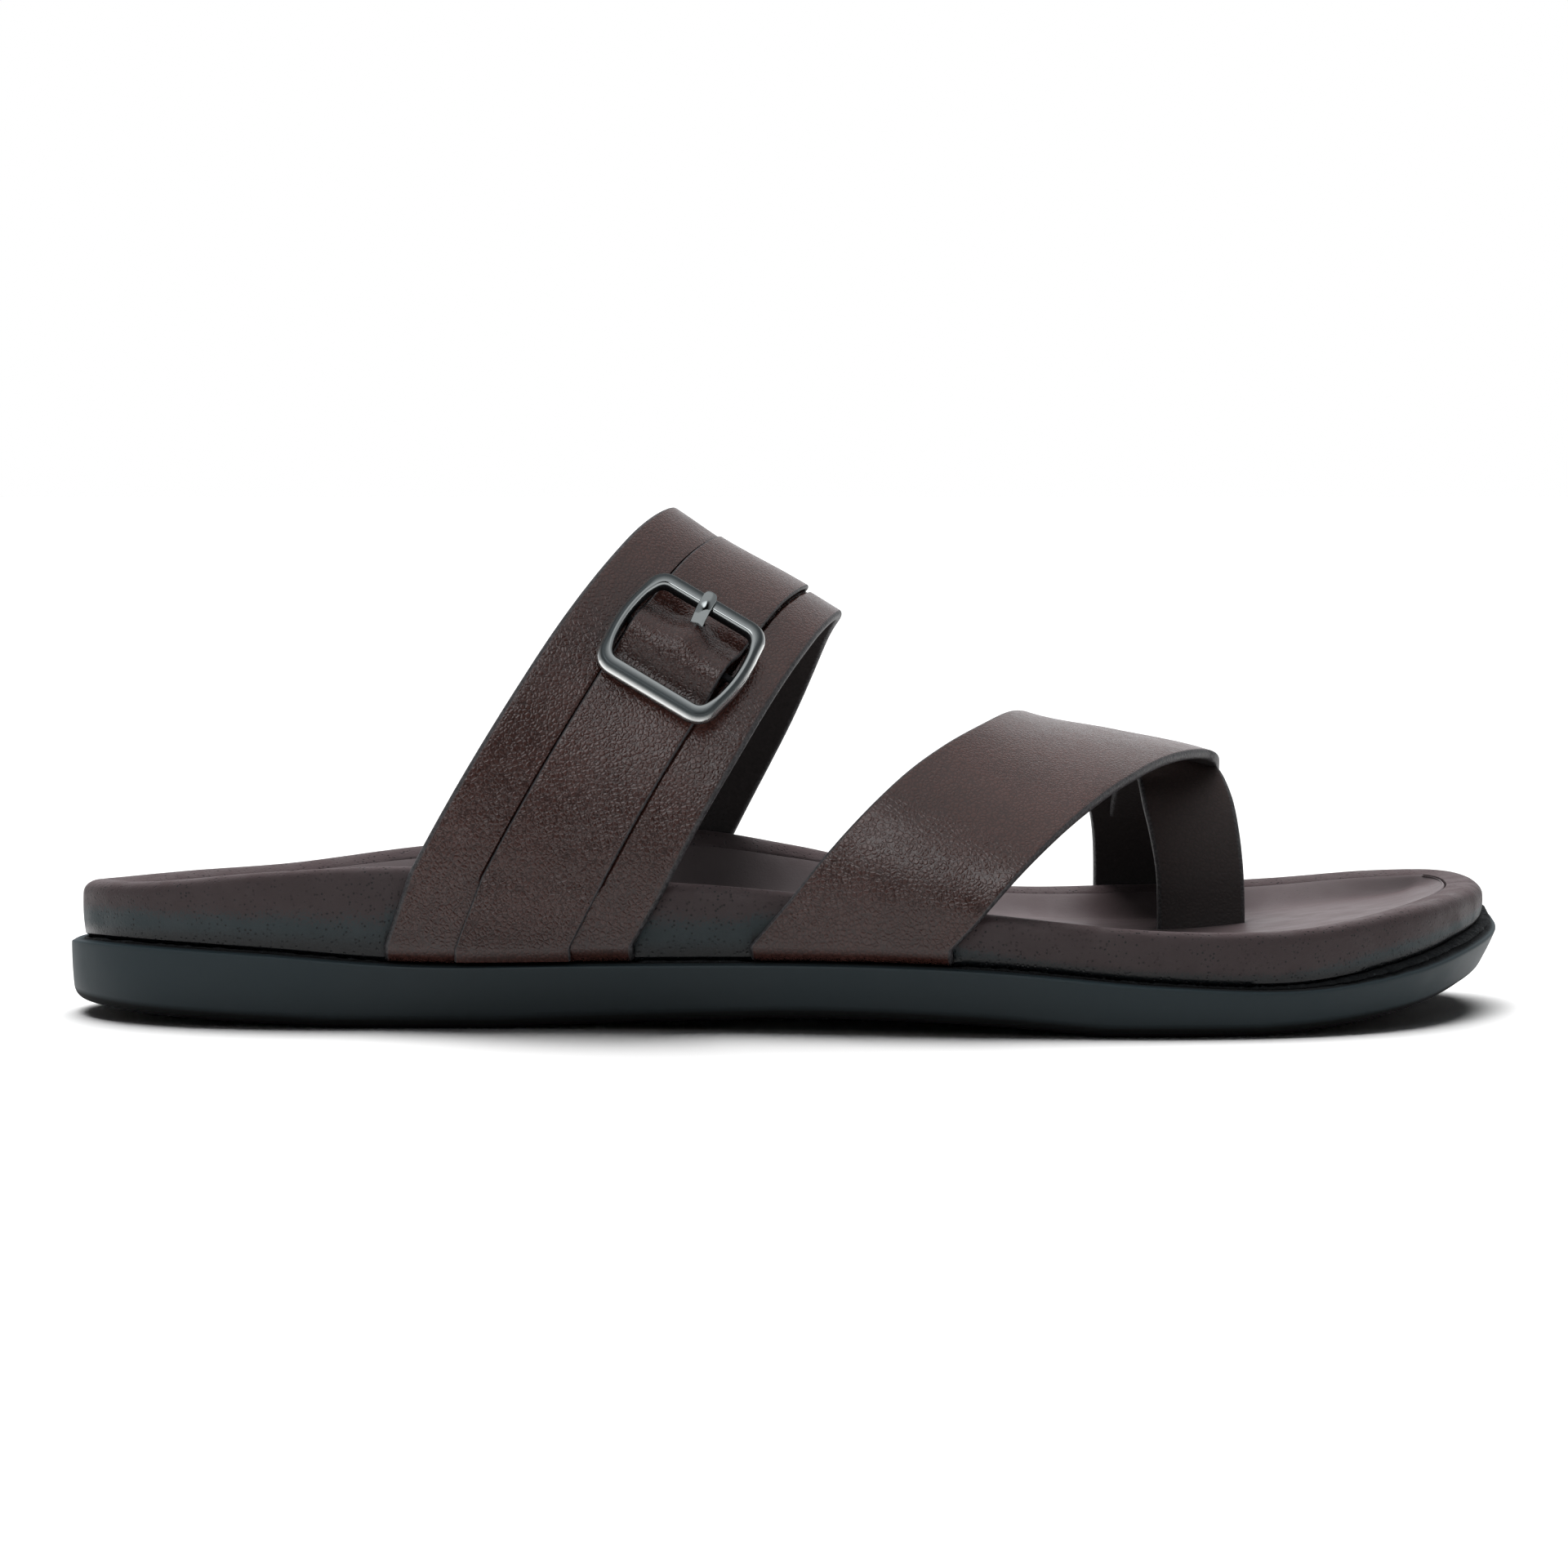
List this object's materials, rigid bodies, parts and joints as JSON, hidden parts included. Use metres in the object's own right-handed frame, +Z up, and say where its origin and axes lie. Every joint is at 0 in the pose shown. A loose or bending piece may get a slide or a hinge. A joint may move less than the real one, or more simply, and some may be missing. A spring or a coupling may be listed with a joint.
{
  "type": "toe ring sandal",
  "caption": "Right men's toe ring sandal: contoured footbed on a rubber outsole, instep strap with buckle, diagonal forefoot strap and toe loop.",
  "frame": {"origin": "middle of the sandal's footprint box, on the floor the sole stands on", "axes": "+X towards the toe, +Y towards the inner (medial) side of the foot, +Z up"},
  "size_m": [0.2904, 0.1057, 0.1013],
  "materials": {
    "outsole_rubber": "matte black moulded rubber",
    "footbed_foam": "matte dark brown foam with fine specks, shaded to black low on its side",
    "insole_sheet": "matte dark brown sheet",
    "brown_leather": "dark brown grained leather, satin",
    "dark_chrome": "polished gunmetal plating"
  },
  "bodies": {
    "root": {"outsole": "outsole_rubber", "footbed": "footbed_foam", "insole": "insole_sheet", "instep_strap": "brown_leather", "forefoot_strap": "brown_leather", "buckle_strap": "brown_leather", "buckle_frame": "dark_chrome", "buckle_prong": "dark_chrome"}
  },
  "joints": []
}
